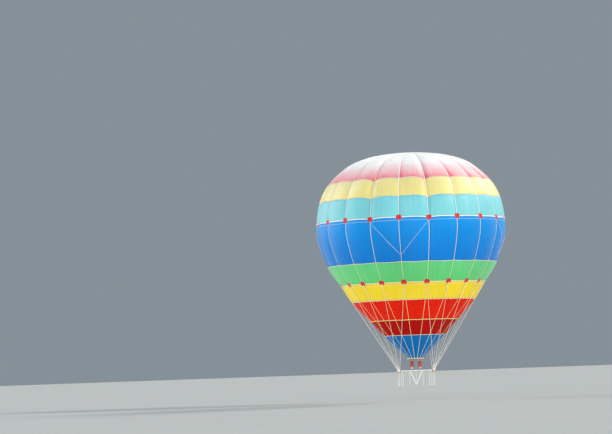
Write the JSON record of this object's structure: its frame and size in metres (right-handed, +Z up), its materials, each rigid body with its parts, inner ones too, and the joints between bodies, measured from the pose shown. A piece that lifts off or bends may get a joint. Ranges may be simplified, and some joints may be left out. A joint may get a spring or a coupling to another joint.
{
  "type": "tethered hot air balloon",
  "caption": "Tethered hot air balloon: gored envelope in coloured bands, crown valve, closed throat with filling sleeves, stays and a square load frame with a tether bridle.",
  "frame": {"origin": "centre of the square load frame, on the balloon's axis, where the loads of all the stays meet", "axes": "+Z up along the balloon's axis, -Y the front seen in the picture, +X to its right"},
  "size_m": [10.0244, 10.0244, 12.4248],
  "materials": {
    "crown_pink": "coated fabric, sun-bleached towards the top",
    "upper_yellow": "coated fabric, pale yellow",
    "turquoise": "coated fabric",
    "blue": "coated fabric",
    "green": "coated fabric",
    "lower_yellow": "coated fabric",
    "red": "coated fabric",
    "dark_red": "coated fabric",
    "throat_blue": "coated fabric",
    "valve_fabric": "coated fabric, off-white",
    "tape": "woven load tape, cream",
    "patch_red": "round reinforcing patches, sewn",
    "sleeve_red": "soft fabric",
    "rope": "braided rope, cream",
    "webbing": "woven webbing, white",
    "frame_paint": "white paint, satin",
    "steel": "brushed"
  },
  "bodies": {
    "balloon": {"band_throat_blue": "throat_blue", "band_dark_red": "dark_red", "band_red": "red", "band_lower_yellow": "lower_yellow", "band_green": "green", "band_blue": "blue", "band_turquoise": "turquoise", "band_upper_yellow": "upper_yellow", "band_crown": "crown_pink", "crown_ring": "tape", "girdle_upper": "patch_red", "girdle_stay_patches": "patch_red", "throat_hem": "tape", "throat_plate": "throat_blue", "sleeve_left": "sleeve_red", "sleeve_right": "sleeve_red", "stays_front_left": "rope", "stays_front_right": "rope", "stays_back_left": "rope", "stays_back_right": "rope", "corner_front_left": "frame_paint", "corner_front_right": "frame_paint", "corner_back_left": "frame_paint", "corner_back_right": "frame_paint", "frame_front": "frame_paint", "frame_back": "frame_paint", "frame_left": "frame_paint", "frame_right": "frame_paint", "frame_cross": "frame_paint", "tether_bridle": "webbing", "tether_ring": "steel", "line_front_left": "rope", "line_front_right": "rope", "line_back_left": "rope", "line_back_right": "rope", "line_left_front": "rope", "line_left_back": "rope", "line_right_front": "rope", "line_right_back": "rope", "tail_left": "rope", "tail_right": "rope"},
    "valve": {"crown_valve": "valve_fabric"}
  },
  "joints": [
    {"name": "valve_slide", "type": "slide", "parent": "balloon", "child": "valve", "axis": [0, 0, 1], "range_m": [-0.45, 0], "stiffness_N_per_m": 250, "springref_m": 0.2}
  ]
}
